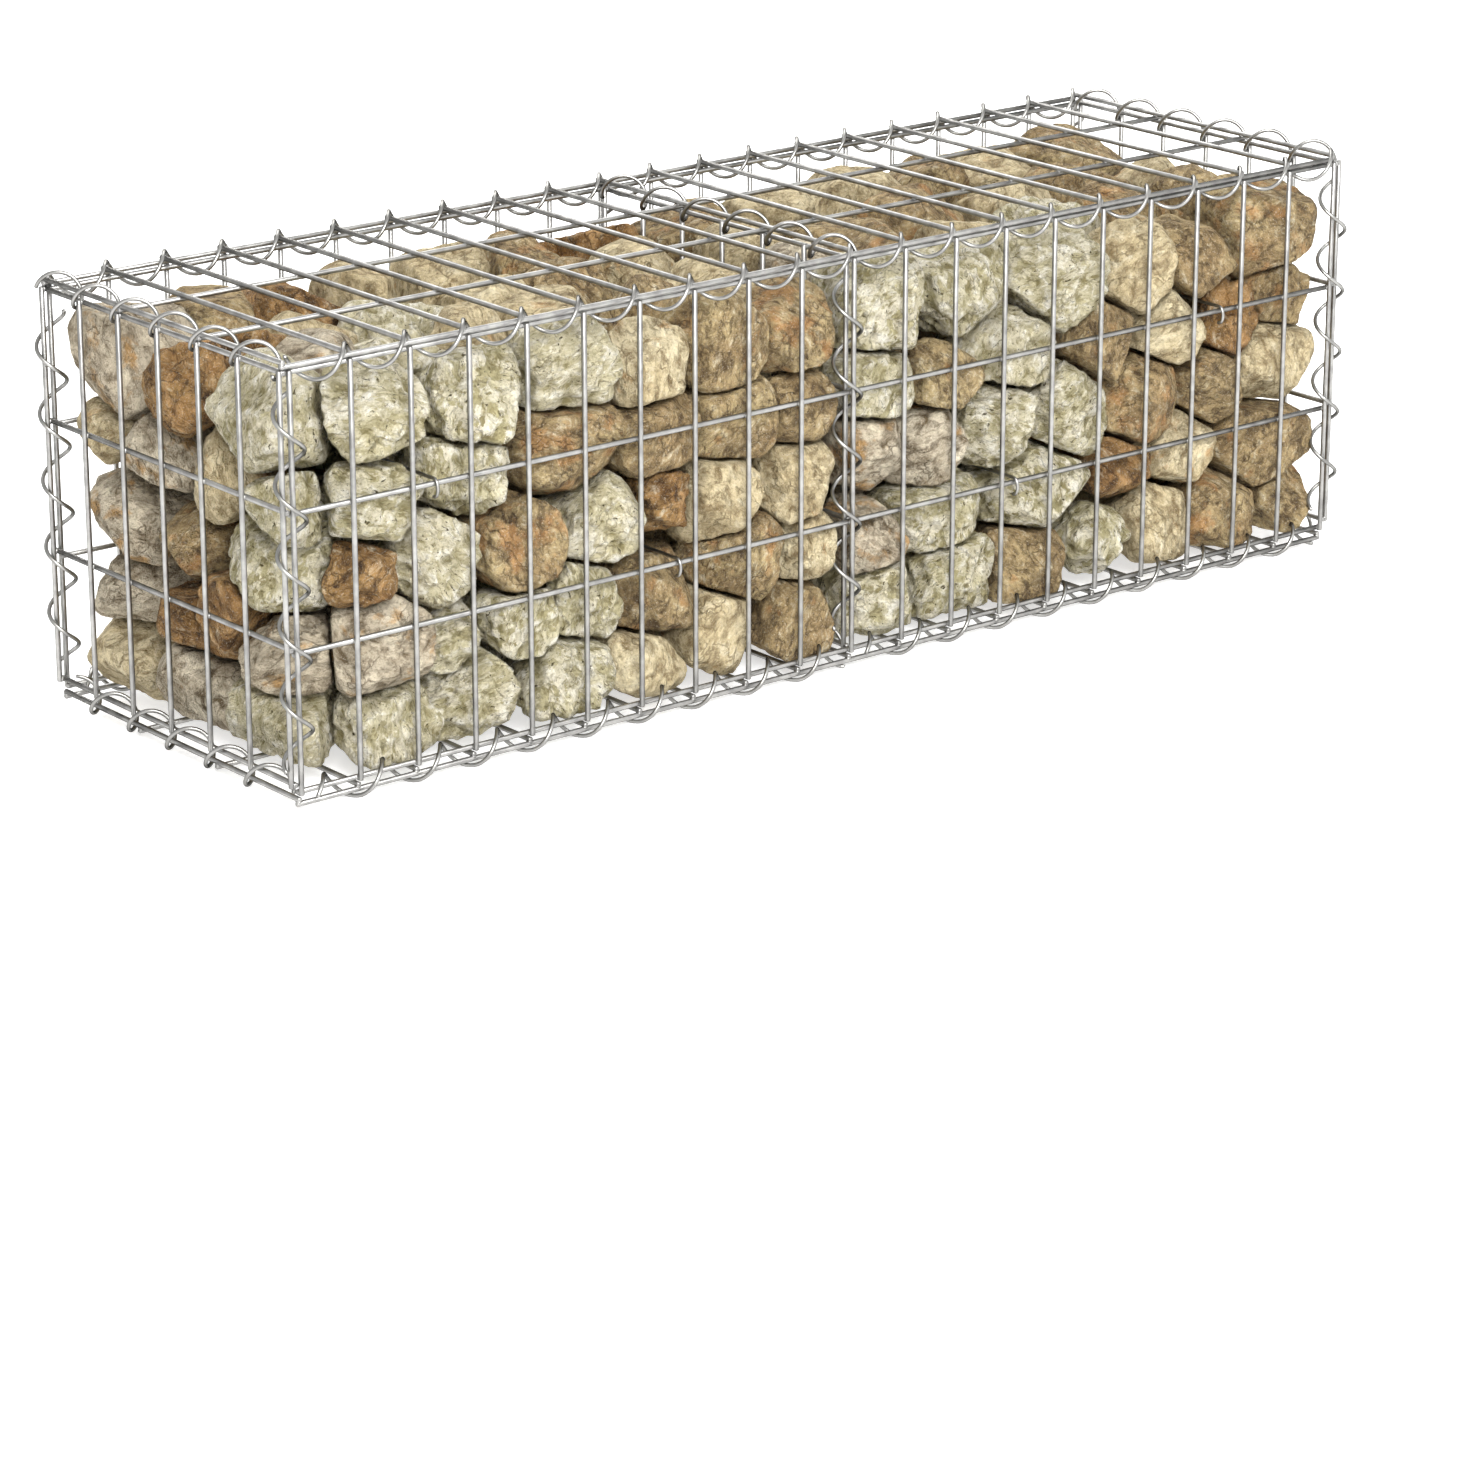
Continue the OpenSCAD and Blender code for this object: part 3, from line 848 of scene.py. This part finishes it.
def finish_stone(m, colour, heights, roughness):
    """Ends a stone material: bumps of each (height, depth in mm), one over the other."""
    normal = None
    for height, depth_mm in heights:
        inputs = {"Height": height, "Strength": 1.0, "Distance": depth_mm * MM}
        if normal is not None:
            inputs["Normal"] = normal
        normal = add(m, "ShaderNodeBump", inputs).outputs["Normal"]
    shader = add(m, "ShaderNodeBsdfPrincipled", {
        "Base Color": colour, "Roughness": roughness, "Specular IOR Level": STONE_SHEEN,
        "Normal": normal})
    add(m, "ShaderNodeOutputMaterial", {"Surface": shader.outputs["BSDF"]})
    return m


# %% Pale tuff: a greenish cream stone, crumpled, chipped and pitted
def pale_tuff():
    """A crumpled pale stone: flakes, broken plates, pits, crumbs and cracks."""
    m, grain, tone, _, wear_and_painted_light = stone_base("pale_tuff_weathered")
    flakes_place = add(m, "ShaderNodeMapping", {
        "Vector": grain, "Scale": (1.0, 1.0, 1.8)}).outputs["Vector"]
    drifts = pattern(m, grain, 34, 2.0, 0.5)
    flakes = pattern(m, flakes_place, 13, 10.0, 0.72, 1.1)
    pits = pattern(m, flakes_place, 5.5, 5.0, 0.62, 0.6)
    crumbs = pattern(m, grain, 2.0, 4.0, 0.75)
    cracks = crack_lines(m, flakes_place, 22, 0.06, 30)
    broken, plate_tone = plates(m, flakes_place, 10, 16)
    chips, chip_tone = plates(m, flakes_place, 4.5, 7)
    body = blend(m, between(m, drifts, 0.40, 0.60), "#D6CDA8", "#ECE4CC")
    body = blend(m, between(m, plate_tone, 0.55, 0.25), body, "#BDB38A")
    body = blend(m, between(m, chip_tone, 0.80, 0.95), body, "#A2976E")
    body = blend(m, between(m, tone, 0.3, 1.4), body, "#D4CAA9")
    # Where the flakes' bumps are low the colour is darkened, painted shade, and where they are high it
    # turns near white, painted highlight; the tint's lightness adds its share.
    relief = sum_of(m, flakes, 0.7, wear_and_painted_light, 0.20)
    colour = blend(m, between(m, relief, 0.33, 0.43), "#93885F", body)
    colour = blend(m, between(m, relief, 0.47, 0.58), colour, "#FBF6E6")
    colour = blend(m, between(m, pits, 0.385, 0.33), colour, "#4F462D")
    colour = blend(m, between(m, crumbs, 0.44, 0.30), colour, "#A09470")
    colour = blend(m, between(m, cracks, 0.0, 1.8), colour, "#5C5238")
    return finish_stone(m, colour, [(flakes, 8.0), (broken, 15.0), (chips, 7.0), (pits, 3.5),
                                   (crumbs, 1.0)], 0.93)


# %% Sandstone: tan, brown or rusty, with beds like wood grain
def bedded_stone(name, light, mid, dark, stain, stain_from, bed_mm, depth):
    """A split stone with beds of this thickness, stained where the stain noise is higher
    than stain_from."""
    m, grain, tone, rust, wear_and_painted_light = stone_base(name)
    beds_place = add(m, "ShaderNodeMapping", {
        "Vector": grain, "Scale": (1.0, 1.0, 1.6)}).outputs["Vector"]
    patch = pattern(m, grain, 36, 3.0, 0.55)
    beds = pattern(m, beds_place, bed_mm, 10.0, 0.70, 0.9)
    fibres = pattern(m, beds_place, 3.6, 6.0, 0.74, 0.2)
    sand = pattern(m, grain, 1.5, 3.0, 0.75)
    stains = pattern(m, beds_place, 30, 5.0, 0.6)
    body = blend(m, between(m, patch, 0.38, 0.60), mid, light)
    body = blend(m, between(m, tone, 0.0, 1.5), body, mid)
    # Relief is the beds' bump height with a share of the tint's lightness. Low relief darkens the colour
    # and high relief lightens it: partly the colour of the beds, partly painted shade and painted
    # highlight.
    relief = sum_of(m, beds, 0.75, wear_and_painted_light, 0.12)
    cracks = crack_lines(m, beds_place, 24, 0.06, 40)
    broken, plate_tone = plates(m, beds_place, 15, 24)
    chips, chip_tone = plates(m, beds_place, 5, 8)
    body = blend(m, between(m, plate_tone, 0.6, 0.9), body, blend(m, 0.35, body, dark))
    body = blend(m, between(m, chip_tone, 0.75, 0.95), body, blend(m, 0.35, body, dark))
    colour = blend(m, between(m, relief, 0.32, 0.45), dark, body)
    colour = blend(m, between(m, relief, 0.48, 0.60), colour, blend(m, 0.6, body, "#F1E8CC"))
    stained = sum_of(m, stains, 1.0, rust, 0.16)
    # On high relief the stain turns lighter: a painted highlight on the stain.
    colour = blend(m, between(m, stained, stain_from, stain_from + 0.10), colour,
                   blend(m, between(m, relief, 0.36, 0.56), stain, "#C39C6A"))
    colour = blend(m, between(m, fibres, 0.48, 0.32), colour, blend(m, 0.6, colour, dark))
    colour = blend(m, between(m, sand, 0.56, 0.75), colour, blend(m, 0.5, colour, "#FFF3DC"))
    colour = blend(m, between(m, cracks, 0.0, 1.5), colour, dark)
    return finish_stone(m, colour, [(beds, depth), (broken, 13.0), (chips, 4.5), (fibres, 2.0),
                                   (sand, 0.9), (cracks, -1.2)],
                        0.88)


finishes = {
    "pale": pale_tuff(),
    "tan": bedded_stone("tan_sandstone_split", "#E1D3AE", "#CDBB93", "#84714F", "#AE8A5A",
                        0.73, 16, 4.0),
    "brown": bedded_stone("brown_sandstone_split", "#BDA87B", "#A48B62", "#55442D", "#966F44",
                          0.66, 13, 4.5),
    "rust": bedded_stone("ironstone_stained_split", "#B8935E", "#8C683C", "#3D2916", "#9A7140",
                         0.60, 15, 5.0),
    "rose": bedded_stone("rose_grey_quartzite_split", "#D8CDB6", "#BFB199", "#665740", "#A07F52",
                         0.68, 20, 4.0),
}
print("stone finishes:", [m.name for m in finishes.values()])

# %% [markdown]
# The stones are joined lift by lift, two bays of three lifts, as the CAD has them. A lift
# has the stones whose middles lie between its joints.

# %% Laying the stones
JOINTS = [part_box(f"stones_left_{level}")[1].z / MM for level in ("lower", "middle")]
LEVELS = ("lower", "middle", "upper")
kind_names = list(finishes)


def lift_of(i):
    """The CAD node of the lift that stone i lies in."""
    level = LEVELS[int(np.searchsorted(JOINTS, middle[i, Z]))]
    return f"stones_{'left' if bay[i] < 0 else 'right'}_{level}"


def lay_lift(node):
    """One joined mesh of all the stones in a lift, with their grain and tint."""
    points, triangles, grains, tints, slots, first = [], [], [], [], [], 0
    for i in range(len(stones)):
        if lift_of(i) != node:
            continue
        spots, faces, grain, wear_and_painted_light = rock(i)
        own = np.random.default_rng(SEED * 2000 + i)
        tone, rust = own.random(), own.random()
        points.append(spots * MM)
        triangles.append(faces + first)
        grains.append(grain * MM)
        # The tint's third number is that lightness: partly wear and dirt, partly painted highlight on
        # ridges and painted shade in hollows.
        tints.append(np.stack([np.full(len(spots), tone), np.full(len(spots), rust), wear_and_painted_light,
                               np.ones(len(spots))], 1))
        slots += [kind_names.index(stones[i]["kind"])] * len(faces)
        first += len(spots)
    mesh = bpy.data.meshes.new(node + "_rocks")
    mesh.from_pydata(np.vstack(points).tolist(), [], np.vstack(triangles).tolist())
    mesh.shade_smooth()
    for finish in finishes.values():
        mesh.materials.append(finish)
    mesh.polygons.foreach_set("material_index", slots)
    mesh.attributes.new("grain", "FLOAT_VECTOR", "POINT").data.foreach_set(
        "vector", np.vstack(grains).ravel())
    mesh.attributes.new("tint", "FLOAT_COLOR", "POINT").data.foreach_set(
        "color", np.vstack(tints).ravel())
    piece = bpy.data.objects.new(node + "_rocks", mesh)
    bpy.context.scene.collection.objects.link(piece)
    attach(piece, "root")
    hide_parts(node)
    return piece


rocks = [lay_lift(f"stones_{b}_{level}") for b in ("left", "right") for level in LEVELS]
print("triangles a lift:", {r.name: len(r.data.polygons) for r in rocks})

# %% [markdown]
# The stage is a plain pale floor under a bright, even sky. One large soft lamp at the upper
# left is the key light. A weak one at the right fills the shadows, and one above and behind
# draws a bright line along the tops of the wires.

# %% Floor, sky and lamps
floor_mesh = bpy.data.meshes.new("floor")
FLOOR_HALF = 30.0
floor_mesh.from_pydata([(sx * FLOOR_HALF, sy * FLOOR_HALF, 0) for sx, sy in
                        ((-1, -1), (1, -1), (1, 1), (-1, 1))], [], [(0, 1, 2, 3)])
floor = bpy.data.objects.new("floor", floor_mesh)
bpy.context.scene.collection.objects.link(floor)
pale_floor = new_material("pale_floor")
floor_shader = add(pale_floor, "ShaderNodeBsdfPrincipled", {
    "Base Color": linear("#D8D8D8"), "Roughness": 0.9, "Specular IOR Level": 0.1,
    "Emission Color": linear("#FFFFFF"), "Emission Strength": 0.6})
add(pale_floor, "ShaderNodeOutputMaterial", {"Surface": floor_shader.outputs["BSDF"]})
floor.data.materials.append(pale_floor)

sky = bpy.data.worlds.new("studio")
bpy.context.scene.world = sky
sky.use_nodes = True
sky.node_tree.nodes.clear()
way_up = add(sky, "ShaderNodeSeparateXYZ", {
    "Vector": add(sky, "ShaderNodeTexCoord").outputs["Generated"]}).outputs["Z"]
height = add(sky, "ShaderNodeMapRange", {
    "Value": way_up, "From Min": 0.0, "From Max": 0.34, "To Min": 0.98, "To Max": 0.90})
light = add(sky, "ShaderNodeBackground", {
    "Color": linear("#FFFFFF"), "Strength": height.outputs["Result"]})
add(sky, "ShaderNodeOutputWorld", {"Surface": light.outputs["Background"]})


WALL_MIDDLE = Vector((0, 0, 0.15))


def lamp(name, place, size, power):
    """A square soft lamp that looks at the middle of the wall: metres and watts."""
    data = bpy.data.lights.new(name, "AREA")
    data.size, data.energy = size, power
    made = bpy.data.objects.new(name, data)
    made.location = place
    way = WALL_MIDDLE - Vector(place)
    made.rotation_euler = way.to_track_quat("-Z", "Y").to_euler()
    bpy.context.scene.collection.objects.link(made)


lamp("key", (-1.5, -2.8, 2.4), 2.0, 225)
lamp("fill", (2.4, -2.2, 1.6), 2.4, 25)
lamp("top", (1.0, 1.9, 2.0), 2.6, 110)
bpy.context.scene.view_settings.view_transform = "Standard"
